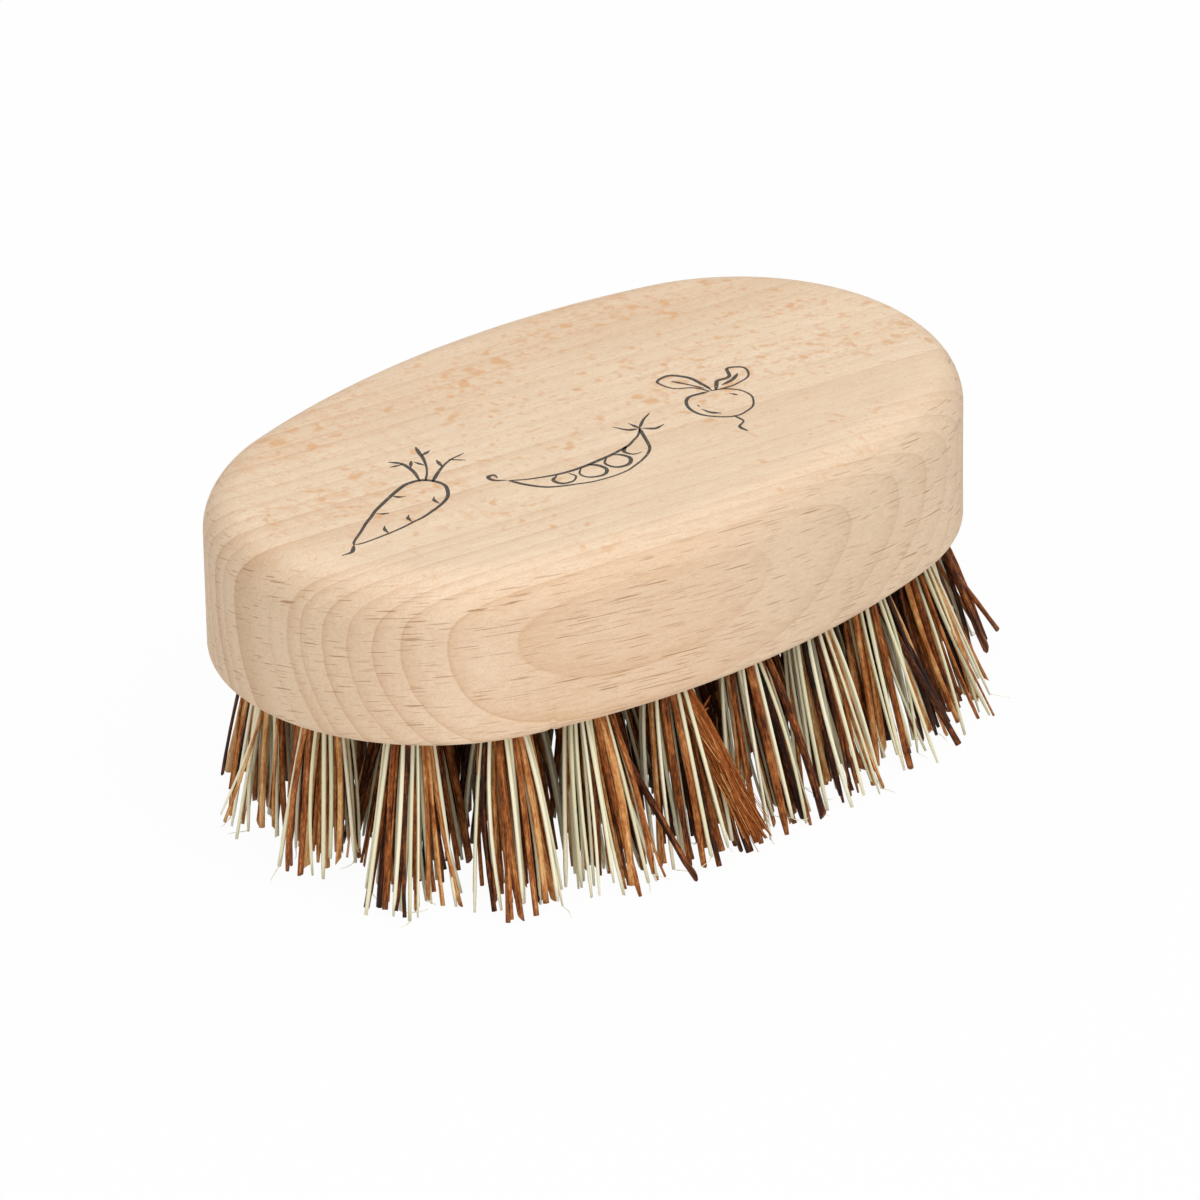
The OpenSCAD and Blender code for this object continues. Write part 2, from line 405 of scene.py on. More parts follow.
palmValues = {
    "patches": 0.8, "streaks": 0.7, "flecks": 0.65, "roughness": 0.55, "specular": 0.18, "ramp": [
        (0, shade(24, 9, 2)), (0.2, shade(68, 30, 8)), (0.42, shade(142, 77, 32)),
        (0.6, shade(188, 120, 63)), (0.78, shade(218, 166, 106)), (1, shade(236, 200, 146))]}
sheathLook = {
    "patches": 0.5, "streaks": 1, "flecks": 0.7, "roughness": 0.7, "specular": 0.12, "ramp": [
        (0, shade(46, 20, 6)), (0.25, shade(92, 44, 15)), (0.5, shade(150, 80, 34)),
        (0.75, shade(192, 120, 62)), (0.9, shade(220, 166, 108)), (1, shade(232, 190, 136))]}
paleValues = {
    "patches": 0.3, "streaks": 0.3, "flecks": 0.1, "roughness": 0.42, "specular": 0.28, "ramp": [
        (0, shade(204, 198, 158)), (0.35, shade(228, 223, 186)), (0.7, shade(243, 236, 202)),
        (1, shade(250, 244, 216))]}
fibreBump = (0.5, 0.05)
mottleGroup = makeMottleGroup(mottleValues)


def makeFibreMaterial(name, v):
    material, tree, shader = newMaterial(name, Roughness=v["roughness"], Specular_IOR_Level=v["specular"])
    own = newNode(tree, "Attribute")
    own.attribute_name = "strandTone"
    knobs = {label: v[label.lower()] for label in ("Patches", "Streaks", "Flecks")}
    mottle = placeGroup(tree, mottleGroup, {"Tone": own.outputs["Fac"], **knobs})
    dress(tree, shader, fibreBump, mottle["Height"], colourRamp(tree, mottle["Tone"], v["ramp"]))
    return material


palmMaterial = makeFibreMaterial("palmFibre", palmValues)
paleMaterial = makeFibreMaterial("paleFibre", paleValues)
sheathMaterial = makeFibreMaterial("sheathFibre", sheathLook)
print("fibre materials ready")


# the block: an oval of four arcs, with the holes drilled in its underside

blockValues = {"endRadius": 26.9, "endCentre": 23.1, "sideRadius": 109.4, "sideCentre": 79.2,
               "seam": atan2(24, 7), "underside": 22.0, "top": 42.97, "topRound": 5.77,
               "bottomRound": 1.0, "holeDiameter": 5.2, "holeDepth": 12.0, "countersink": 0.25,
               "endSteps": 150, "sideSteps": 300, "topSteps": 20, "bottomSteps": 5, "wallSteps": 12,
               "holeSides": 32, "flatEdge": 3, "uneven": 0.05, "unevenSize": 0.09, "unevenMean": 0.6}
# inset from the edge, count, place of the first as a share of the pitch, and lean
rowValues = {"outer": (7.2, 20, 0.26, 15), "middle": (16.8, 14, 0.5, 6)}
centreRow = {"count": 5, "pitch": 11.0, "lean": 3}
burrValues = {"x": -28.1, "width": 0.42, "height": 3.6, "depth": 0.3, "ridge": 1.4}


def quarterPoint(inset, run):  # on the quarter from the right end to the back
    v = blockValues
    endRun = (v["endRadius"] - inset) * v["seam"]
    onEnd = run < endRun
    radius = (v["endRadius"] if onEnd else v["sideRadius"]) - inset
    angle = run / radius if onEnd else v["seam"] + (run - endRun) / radius
    x = radius * cos(angle) + (v["endCentre"] if onEnd else 0)
    y = radius * sin(angle) - (0 if onEnd else v["sideCentre"])
    return x, y, angle


def rowPoint(inset, run):  # a point on the oval inset from the edge, the way outwards, and its length
    v = blockValues
    quarter = (v["endRadius"] - inset) * v["seam"] + (v["sideRadius"] - inset) * (pi / 2 - v["seam"])
    part, rest = int(run // quarter) % 4, run % quarter
    x, y, angle = quarterPoint(inset, rest if part % 2 == 0 else quarter - rest)
    flipX = -1 if part in (1, 2) else 1
    flipY = 1 if part < 2 else -1
    return flipX * x, flipY * y, atan2(flipY * sin(angle), flipX * cos(angle)), 4 * quarter


def tuftPlaces():
    places = []
    for row, (inset, count, start, lean) in rowValues.items():
        whole = rowPoint(inset, 0)[3]
        for i in range(count):
            x, y, way, _ = rowPoint(inset, (i + start) * whole / count)
            places.append({"node": f"tuft_{row}_{i + 1:02d}", "x": x, "y": y, "way": way, "lean": lean})
    middle = (centreRow["count"] - 1) // 2
    for i in range(centreRow["count"]):
        x = (i - middle) * centreRow["pitch"]
        lean = centreRow["lean"] * abs(x) / (middle * centreRow["pitch"])
        places.append({"node": f"tuft_centre_{i + 1:02d}", "x": x, "y": 0.0,
                       "way": pi if x < 0 else 0.0, "lean": lean})
    return places


places = tuftPlaces()


def blockArcs(v):  # centre, radius and angle of each step round the outline
    arcs = []
    for k in range(v["endSteps"]):
        arcs.append((v["endCentre"], 0, v["endRadius"], -v["seam"] + 2 * v["seam"] * k / v["endSteps"]))
    sweep = pi - 2 * v["seam"]
    for k in range(v["sideSteps"]):
        arcs.append((0, -v["sideCentre"], v["sideRadius"], v["seam"] + sweep * k / v["sideSteps"]))
    return arcs + [(-cx, -cy, r, a + pi) for cx, cy, r, a in arcs]


def blockProfile(v):  # inset and height of each step up the side and over its rounded edges
    profile = []
    sideTop, sideLow = v["top"] - v["topRound"], v["underside"] + v["bottomRound"]
    for k in range(v["bottomSteps"] + 1):
        a = pi / 2 * k / v["bottomSteps"]
        inset = v["bottomRound"] * (1 - sin(a))
        profile.append((inset, v["underside"] + v["bottomRound"] * (1 - cos(a))))
    for k in range(1, v["wallSteps"]):
        profile.append((0.0, sideLow + (sideTop - sideLow) * k / v["wallSteps"]))
    for k in range(v["topSteps"] + 1):
        a = pi / 2 * k / v["topSteps"]
        profile.append((v["topRound"] * (1 - cos(a)), sideTop + v["topRound"] * sin(a)))
    return profile + [(v["topRound"] + v["flatEdge"], v["top"])]


def burrDent(x, y, z):  # a small bruise at the lower edge of the front
    v = burrValues
    if y > 0 or z > blockValues["underside"] + 6:
        return 0.0
    side = (x - v["x"]) / v["width"]
    fade = max(0.0, 1 - (z - blockValues["underside"]) / v["height"])
    return v["depth"] * fade * (exp(-(side - v["ridge"]) ** 2) * 0.5 - exp(-side ** 2))


def ringOf(form, points):
    return [form.verts.new(point) for point in points]


def joinRings(form, low, high):
    count = len(low)
    for k in range(count):
        form.faces.new((low[k], low[(k + 1) % count], high[(k + 1) % count], high[k]))


def ringEdges(form, ring):
    return [form.edges.get((ring[k], ring[(k + 1) % len(ring)])) for k in range(len(ring))]


def drillHole(form, v, place):  # a blind hole along its tuft, and the edges of its mouth
    lean = radians(place["lean"])
    out = Vector((cos(place["way"]), sin(place["way"]), 0))
    across = Vector((-out.y, out.x, 0))
    middle = Vector((place["x"], place["y"], v["underside"]))
    drill = Vector((-out.x * tan(lean), -out.y * tan(lean), 1))
    loops = []
    for depth, widen in ((0, v["countersink"]), (v["countersink"], 0), (v["holeDepth"], 0)):
        loop = []
        for k in range(v["holeSides"]):
            a = 2 * pi * k / v["holeSides"]
            radius = v["holeDiameter"] / 2 + widen
            spot = middle + drill * depth
            spot += out * (cos(a) * radius / cos(lean)) + across * (sin(a) * radius)
            loop.append(spot * mm)
        loops.append(ringOf(form, loop))
    for outer, inner in zip(loops, loops[1:]):
        joinRings(form, outer, inner)
    form.faces.new(loops[-1][::-1])
    return ringEdges(form, loops[0])


def makeBlock(v):
    form = bmesh.new()
    arcs = blockArcs(v)
    rings = []
    for inset, z in blockProfile(v):
        ring = []
        onSide = inset < v["topRound"] * 0.9 and z > v["underside"] + 0.2
        for cx, cy, radius, angle in arcs:
            x = cx + (radius - inset) * cos(angle)
            y = cy + (radius - inset) * sin(angle)
            push = burrDent(x, y, z)
            if onSide:
                push += v["uneven"] * (noise.noise(Vector((x, y, z)) * v["unevenSize"]) - v["unevenMean"])
            ring.append(((x + push * cos(angle)) * mm, (y + push * sin(angle)) * mm, z * mm))
        rings.append(ringOf(form, ring))
    for low, high in zip(rings, rings[1:]):
        joinRings(form, low, high)
    form.faces.new(rings[-1])

    # the underside is filled between its rim and the mouths of the holes
    openEdges = ringEdges(form, rings[0])
    for place in places:
        openEdges += drillHole(form, v, place)
    bmesh.ops.triangle_fill(form, use_beauty=True, use_dissolve=False, edges=openEdges)
    bmesh.ops.recalc_face_normals(form, faces=form.faces)
    mesh = meshFrom(form, "beechBlock")
    mesh.polygons.foreach_set("use_smooth", [True] * len(mesh.polygons))
    mesh.set_sharp_from_angle(angle=radians(40))
    mesh.materials.append(beechMaterial)
    return addObject("beechBlock", mesh)


block = makeBlock(blockValues)
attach(block, "root")
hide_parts("brush_block")
print("block made,", len(block.data.polygons), "faces")


# strands: closed tubes with their own tone, gathered into one mesh for each tuft

# how a strand lies on its map: across and along its column, its two ends, and how far grains lie apart
mapValues = {"across": (0.04, 0.92), "along": (0.01, 0.96), "ends": (0.004, 0.985), "end": (0.4, 0.004),
             "grainApart": (3.7, 0.013)}


class StrandStore:
    def __init__(self):
        self.points, self.faces, self.kinds, self.smooth = [], [], [], []
        self.tones, self.runs, self.maps = [], [], []
        self.column = 0

    def addTube(self, path, radii, sides, kind, tone, flat=1.0, turn=0.0, cut=0.0, lobes=None):
        path = np.asarray(path, float)
        count, base = len(path), len(self.points)
        along = unitRows(np.gradient(path, axis=0))
        ref = np.array([cos(turn), sin(turn), 0.0])
        first = unitRows(ref - along * (along @ ref)[:, None])
        second = np.cross(along, first)
        angles = np.arange(sides) * 2 * pi / sides
        lobes = np.ones(sides) if lobes is None else lobes
        lengths = runAlong(path)
        apart = mapValues["grainApart"]
        for j in range(count):
            reach = radii[j] * lobes
            for r, a in zip(reach, angles):
                self.runs += [r * cos(a) + self.column * apart[0] + turn,
                              r * sin(a) + base * apart[1], lengths[j]]
            ring = path[j] + (reach * np.cos(angles))[:, None] * first[j]
            ring = ring + (reach * np.sin(angles) * flat)[:, None] * second[j]
            if j == count - 1 and cut:  # a slanting end
                ring = ring + (np.cos(angles - 0.7) * cut * radii[j])[:, None] * along[j]
            self.points += [tuple(p) for p in ring]
            self.tones += [tone] * sides
        self.faces += tubeFaces(base, count, sides)
        self.kinds += [kind] * ((count - 1) * sides + 2)
        self.smooth += [True] * ((count - 1) * sides) + [False] * 2
        self.addMap(count, sides)
        self.column += 1

    def addMap(self, count, sides):  # a column of the map for each tube
        (left, wide), (low, tall) = mapValues["across"], mapValues["along"]
        left += self.column
        for j in range(count - 1):
            p, q = low + tall * j / (count - 1), low + tall * (j + 1) / (count - 1)
            for k in range(sides):
                u, w = left + wide * k / sides, left + wide * (k + 1) / sides
                self.maps += [(u, p), (w, p), (w, q), (u, q)]
        wide, tall = mapValues["end"]
        for level in mapValues["ends"]:
            for k in range(sides):
                a = 2 * pi * k / sides
                self.maps.append((self.column + 0.5 + wide * cos(a), level + tall * sin(a)))

    def makePiece(self, name, materials):
        mesh = bpy.data.meshes.new(name)
        mesh.from_pydata([tuple(c * mm for c in p) for p in self.points], [], self.faces)
        for material in materials:
            mesh.materials.append(material)
        mesh.polygons.foreach_set("material_index", self.kinds)
        mesh.polygons.foreach_set("use_smooth", self.smooth)
        tones = mesh.attributes.new("strandTone", "FLOAT", "POINT")
        tones.data.foreach_set("value", self.tones)
        runs = mesh.attributes.new("strandRun", "FLOAT_VECTOR", "POINT")
        runs.data.foreach_set("vector", self.runs)
        layer = mesh.uv_layers.new(name="OFBake")
        layer.data.foreach_set("uv", [c for u, v in self.maps for c in (u / self.column, v)])
        mesh.update()
        return addObject(name, mesh)


# pale fibre, brown palm fibre, dark, tan and thin brown: which material, radius, tone and flatness
thickKind = {"kind": 1, "sides": 8, "flat": (0.6, 0.95)}
strandKinds = {
    "p": {"kind": 0, "radius": (0.21, 0.31), "tone": (0.25, 0.9), "sides": 6, "flat": (0.75, 1.0)},
    "b": {**thickKind, "radius": (0.27, 0.56), "tone": (0.2, 0.64)},
    "d": {**thickKind, "radius": (0.34, 0.56), "tone": (0.04, 0.2)},
    "t": {**thickKind, "radius": (0.36, 0.54), "tone": (0.6, 0.8)},
    "n": {"kind": 1, "radius": (0.18, 0.28), "tone": (0.35, 0.6), "sides": 6, "flat": (0.7, 1.0)},
}
strandValues = {
    "bow": 0.3, "wander": 0.7, "wilder": 2.2, "wildShare": 0.1,
    "taper": 0.12, "uneven": 0.05, "thinRoot": 0.8, "lobes": 0.16,
    # ends of brown strands: slanting below the first share, broken below the next, split above the last
    "slantBelow": 0.35, "brokenBelow": 0.5, "splitAbove": 0.86, "slant": (0.6, 1.6), "broken": 0.6,
    "paleSlant": (0, 0.8), "paleTip": (0.55, 1),
    "splitApart": 0.35, "splitRoot": 0.2, "splitRadius": 0.72, "splitFlat": 0.7,
    "splitUneven": (0.2, 0.9),
    "clear": 0.05,  # least height of a tip over the table
}
tuftValues = {
    "length": 22, "short": 0.08, "ragged": 2.3, "raggedPower": 1.7, "holeRadius": 2.25, "leanPlay": 1.5,
    "rootDepth": 6, "mouth": (-1.5, 0.5), "steps": 11, "margin": 0.4,
    "openPower": 0.7, "wanderPower": 1.6,
    # how far a tuft opens along its row, and away from the middle
    "spread": {"outer": (2.65, 2.2), "middle": (3.5, 2.9), "centre": (3.3, 3)},
    # strands in a tuft, in one whose near side is given below, and the mix of those that aren't given
    "strands": 52, "behindRow": 44, "mix": "pppppbbbbbddtn", "turn": 2.39996,
    "nearLeft": radians(139.6), "rim": (0.86, 1), "inner": 0.6, "seed": 409,
}
curlValues = {"share": 0.25, "length": (1, 3.4), "turn": 0.7, "bend": 0.45, "jitter": 0.12, "steps": 9,
              "fall": -0.25, "lowest": 0.12, "radii": (0.07, 0.03)}
# front tufts of the outer row: what shows on the near side from left to right, and strays, the single
# strands that leave the tuft: kind, radius, where they end, and the sideways bow
frontTufts = {
    # a tone shift paints light on the left tufts and shade on the right ones
    9: {"lean": 6, "raise": 1.5, "paintedLightShift": 0.06},
    10: {"row": "npnpptpbbbbpd", "lean": 4, "raise": 1.6, "open": 2.4, "paintedLightShift": 0.11,
         "strays": [("n", 0.24, (-51.7, 4.9, 6.6), 0.3), ("p", 0.2, (-49.6, 8.4, 5.2), 0.6)]},
    11: {"row": "bpbbppptpbp", "lean": 4, "raise": 1.7, "open": 2.1, "paintedLightShift": 0.09},
    12: {"row": "pbpbbpdppbbbp", "lean": 11, "raise": 0.2, "open": 2.1, "paintedLightShift": 0.03,
         "strays": [("p", 0.3, (-36.3, -18.9, 1), 0.2)]},
    13: {"row": "bbpdpbbppbtppp", "lean": 15, "open": 2.4},
    14: {"row": "tpppppppbbpbpb", "lean": 16, "open": 2.4,
         "strays": [("b", 0.5, (-13.6, -34, 0.4), 0.3), ("p", 0.3, (-17.4, -31.5, 0.6), 0.4)]},
    15: {"row": "ppbpbbpppd", "lean": 16, "strays": [("d", 0.42, (-9.4, -33.4, 0.4), 0.2)]},
    16: {"row": "pppbbppbppbb", "lean": 17},
    17: {"row": "bppppdpbppbp", "lean": 17, "paintedLightShift": -0.04},
    18: {"row": "tbpbppbppd", "lean": 17, "paintedLightShift": -0.05,
         "strays": [("b", 0.5, (30, -31.4, 1.4), 0.2)]},
    19: {"row": "dpdbbbbppp", "lean": 17, "paintedLightShift": -0.06,
         "strays": [("n", 0.18, (38.4, -28.4, 1), 0.3), ("p", 0.28, (33.2, -29, 0.6), 0.5)]},
    20: {"row": "ppbppnpb", "lean": 16, "paintedLightShift": -0.06,
         "strays": [("b", 0.46, (51.4, -15, 2.8), 0.3), ("n", 0.3, (50, -13.2, 2.4), 0.3)]},
}
limitX, limitY = cadHigh.x / mm - 0.3, cadHigh.y / mm - 0.3


def strandPath(place, offset, reach, wander, bow):
    v = tuftValues
    above, below = v["mouth"]
    drops = np.concatenate(([-v["rootDepth"], above], np.linspace(below, reach, v["steps"])))
    share = np.clip(drops / v["length"], 0, None)
    tilt = tan(radians(place["lean"]))
    path = np.empty((len(drops), 3))
    wide, deep = v["spread"][place["node"].split("_")[1]]
    alongRow = 1 + (place.get("open", wide) - 1) * share ** v["openPower"]
    outwards = 1 + (deep - 1) * share ** v["openPower"]
    way = np.array([cos(place["way"]), sin(place["way"])])
    across = np.array([-way[1], way[0]])
    opened = np.outer(outwards * np.dot(offset, way), way)
    opened = opened + np.outer(alongRow * np.dot(offset, across), across)
    swing = np.sin(pi * np.clip(share, 0, 1))
    for axis, start in enumerate((place["x"], place["y"])):
        path[:, axis] = start + drops * tilt * way[axis] + opened[:, axis]
        path[:, axis] += wander[axis] * share ** v["wanderPower"] + bow[axis] * swing
    path[:, 2] = blockValues["underside"] - drops
    for axis, limit in ((0, limitX), (1, limitY)):  # the outermost tips stay over the same table
        over = abs(path[-1, axis]) + v["margin"] - limit
        if over > 0:
            path[:, axis] -= copysign(over, path[-1, axis]) * share ** 2 / share[-1] ** 2
    return path


def strayPath(place, end, bowed):  # from the hole to where it ends, with a bow to one side
    v = tuftValues
    share = np.concatenate(([0, 0], np.linspace(0.03, 1, v["steps"])))
    start = np.array([place["x"], place["y"], blockValues["underside"]])
    reach = np.array(end) - start
    path = start + reach * share[:, None]
    path[:2, 2] += (v["rootDepth"], 1.2)
    side = np.array([-reach[1], reach[0], 0.0])
    side /= np.linalg.norm(side)
    return path + side * (bowed * np.sin(pi * share))[:, None]


def splitPaths(rng, path, radius, turn):  # the two halves of an end that has split
    v = strandValues
    share = np.linspace(0, 1, len(path))
    apart, halves = rng.normal(0, v["splitApart"], 2), []
    for sign in (-1, 1):
        half = path.copy()
        half[:, :2] += sign * apart * (share ** 6)[:, None]
        half[:, :2] += sign * v["splitRoot"] * radius * np.array([cos(turn), sin(turn)])
        half[-1, 2] += 0.5 * (sign + 1) * rng.uniform(*v["splitUneven"])
        halves.append(half)
    return halves


def addStrand(store, rng, place, offset, letter, reach, path=None, size=None):
    v, kind = strandValues, strandKinds[letter]
    wild = v["wilder"] if rng.uniform() < v["wildShare"] else 1
    wander = rng.normal(0, v["wander"] * wild, 2)
    bow = rng.normal(0, v["bow"], 2)
    if path is None:
        path = strandPath(place, offset, reach, wander, bow)
    radius = rng.uniform(*kind["radius"]) if size is None else size
    # some front tufts shift the tone: painted light on the left, painted shade on the right
    tone = rng.uniform(*kind["tone"]) + place.get("paintedLightShift", 0.0)
    count = len(path)
    woody = kind["kind"] == 1
    unevenness = rng.normal(0, v["uneven"], count) if woody else 0
    radii = radius * (1 - v["taper"] * np.linspace(0, 1, count) + unevenness)
    radii[:2] *= v["thinRoot"]
    sort = rng.uniform()
    cut = 0.0
    if woody and sort < v["slantBelow"]:
        cut = rng.uniform(*v["slant"])
    elif woody and sort < v["brokenBelow"]:
        radii[-1] *= v["broken"]
    elif not woody:
        cut = rng.uniform(*v["paleSlant"])
        radii[-1] *= rng.uniform(*v["paleTip"])
    lobes = 1 + rng.uniform(-v["lobes"], v["lobes"], kind["sides"]) if woody else None
    turn = rng.uniform(0, 2 * pi)
    if woody and letter != "n" and sort > v["splitAbove"]:
        radii, flat = radii * v["splitRadius"], v["splitFlat"]
        paths = splitPaths(rng, path, radius, turn)
    else:
        low = path[-1, 2] - (abs(cut) + 0.5) * radii[-1]
        if low < v["clear"]:
            path[-1, 2] += v["clear"] - low
        flat, paths = rng.uniform(*kind["flat"]), [path]
    for part in paths:
        store.addTube(part, radii, kind["sides"], kind["kind"], tone, flat, turn, cut, lobes)
    return path[-1]


def addCurl(store, rng, tip, way, length):  # a hair-thin curl at the end of a pale strand
    v = curlValues
    heading, bend = way + rng.normal(0, v["turn"]), rng.uniform(-v["bend"], v["bend"])
    spot, path = np.array(tip, float), []
    step = length / v["steps"]
    for k in range(v["steps"] + 1):
        path.append(spot.copy())
        heading += bend * length / v["steps"] + rng.normal(0, v["jitter"])
        spot = spot + step * np.array([cos(heading), sin(heading), v["fall"]])
        spot[2] = max(spot[2], v["lowest"])
        spot[0] = np.clip(spot[0], -limitX, limitX)
        spot[1] = np.clip(spot[1], -limitY, limitY)
    store.addTube(path, np.linspace(*v["radii"], v["steps"] + 1), 4, 0, 1.0)


def strandStarts(rng, row, seed):  # kind of each strand and its place in the hole
    v = tuftValues
    starts = []
    for i, letter in enumerate(row):
        a = v["nearLeft"] + pi * (i + 0.5) / len(row)
        r = v["holeRadius"] * rng.uniform(*v["rim"])
        starts.append((letter, r * cos(a), r * sin(a)))
    total = v["behindRow"] if row else v["strands"]
    for i in range(total):
        r = v["holeRadius"] * sqrt((i + 0.5) / total)
        a = i * v["turn"] + seed
        near = cos(a - v["nearLeft"] - pi / 2) > 0.1
        if row and near and r > v["inner"] * v["holeRadius"]:
            continue
        starts.append((rng.choice(list(v["mix"])), r * cos(a), r * sin(a)))
    return starts


def makeTuft(place, number):  # the numbers begin with the outer row
    v, seed = tuftValues, tuftValues["seed"] + number
    rng, store = np.random.RandomState(seed), StrandStore()
    lean = place["lean"] + rng.uniform(-v["leanPlay"], v["leanPlay"])
    place = {**place, "lean": lean, **frontTufts.get(number, {})}
    longest = v["length"] - v["short"] - place.get("raise", 0.0)
    for letter, x, y in strandStarts(rng, place.get("row", ""), seed):
        reach = longest - v["ragged"] * rng.uniform() ** v["raggedPower"]
        tip = addStrand(store, rng, place, (x, y), letter, reach)
        if letter == "p" and rng.uniform() < curlValues["share"]:
            addCurl(store, rng, tip, place["way"], rng.uniform(*curlValues["length"]))
    for letter, size, end, bowed in place.get("strays", []):
        addStrand(store, rng, place, (0, 0), letter, 0, strayPath(place, end, bowed), size)
    return store.makePiece(place["node"].replace("tuft", "fibres"), [paleMaterial, palmMaterial])


for number, place in enumerate(places, 1):
    tuft = makeTuft(place, number)
    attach(tuft, "root")
    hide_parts(place["node"])
print("tufts made,", len(places))


# a flat strip of palm sheath caught in one of the front tufts

sheathValues = {
    "path": [(-9.2, -23.8, 23), (-7.9, -25.7, 19.3), (-6.9, -28.1, 15.4), (-6, -30.7, 10.4),
             (-4.7, -32.9, 5.4), (-3, -34.2, 0.7)],
    "steps": 22, "seed": 77, "facing": (-0.5, -0.6, 0.3), "squareTo": (0.576, 0.677, 0),
    "ribs": 15, "pitch": 0.19, "rib": 0.16, "tone": (0.36, 0.62), "crown": 0.12, "flat": 0.8,
    "ribEnd": (0.93, 1), "ribPlay": 0.03, "ribUneven": 0.08,
    "forkFrom": 0.84, "forkRun": 0.16, "fork": (-0.4, 0.55),
    "hairs": 46, "hair": (0.035, 0.055), "hairTone": (0.4, 0.95), "hairLift": (0.3, 0.4),
    # the torn corner near its root, and a hair there: reach, drop and thickness
    "corner": (-7, -27.5, 17.3), "cornerTone": 0.42,
    "torn": [((2.2, 0.5, 1.3), 0, 0.3), ((1.6, 0.2, 0.4), 0.3, 0.34), ((-3.2, 3.4, 0.9), 0.2, 0.07)],
}


def makeSheath(v):
    rng, store = np.random.RandomState(v["seed"]), StrandStore()
    spine = np.array(v["path"])
    legs = runAlong(spine)
    legs /= legs[-1]
    across = np.cross(spine[-1] - spine[1], v["squareTo"])
    across /= np.linalg.norm(across)
    facing = np.array(v["facing"])
    fine = np.linspace(0, 1, v["steps"])
    smooth = np.c_[tuple(np.polyval(np.polyfit(legs, spine[:, k], 3), fine) for k in range(3))]
    for i in range(v["ribs"]):
        side = i - (v["ribs"] - 1) / 2
        last = int(v["steps"] * rng.uniform(*v["ribEnd"]))
        share = fine[:last]
        fork = np.clip((share - v["forkFrom"]) / v["forkRun"], 0, 1) ** 2 * v["fork"][int(side > 0.6)]
        path = smooth[:last] + across * ((side * v["pitch"]) * (0.8 + 0.2 * share) + fork)[:, None]
        path += facing * (v["crown"] * np.cos(side * 0.5) + rng.normal(0, v["ribPlay"]))
        radii = np.full(last, v["rib"]) * (1 + rng.normal(0, v["ribUneven"], last))
        radii[-1] *= 0.5
        turn = atan2(across[1], across[0])
        store.addTube(path, radii, 6, 0, rng.uniform(*v["tone"]), v["flat"], turn)
    for i in range(v["hairs"]):  # loose hairs on its face, every third one along an edge
        first = rng.randint(3, v["steps"] - 6)
        part = smooth[first:first + rng.randint(4, 9)]
        if i % 3 == 0:
            side = rng.choice([-1.25, 1.25]) + rng.normal(0, 0.12)
        else:
            side = rng.uniform(-1.15, 1.15)
        away = np.linspace(0, rng.normal(0, 0.45), len(part))
        path = part + across * (side + away)[:, None] + facing * rng.uniform(*v["hairLift"])
        radii = np.full(len(part), rng.uniform(*v["hair"]))
        store.addTube(path, radii, 4, 0, rng.uniform(*v["hairTone"]))
    share = np.linspace(0, 1, 6)
    for reach, drop, thick in v["torn"]:
        path = np.array(v["corner"]) - (0, 0, drop) + np.array(reach) * share[:, None]
        store.addTube(path, thick * (1 - 0.8 * share), 6, 0, v["cornerTone"], 0.6)
    return store.makePiece("sheathStrip", [sheathMaterial])


sheath = makeSheath(sheathValues)
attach(sheath, "root")
print("sheath strip made")


# line drawing of vegetables printed on the top

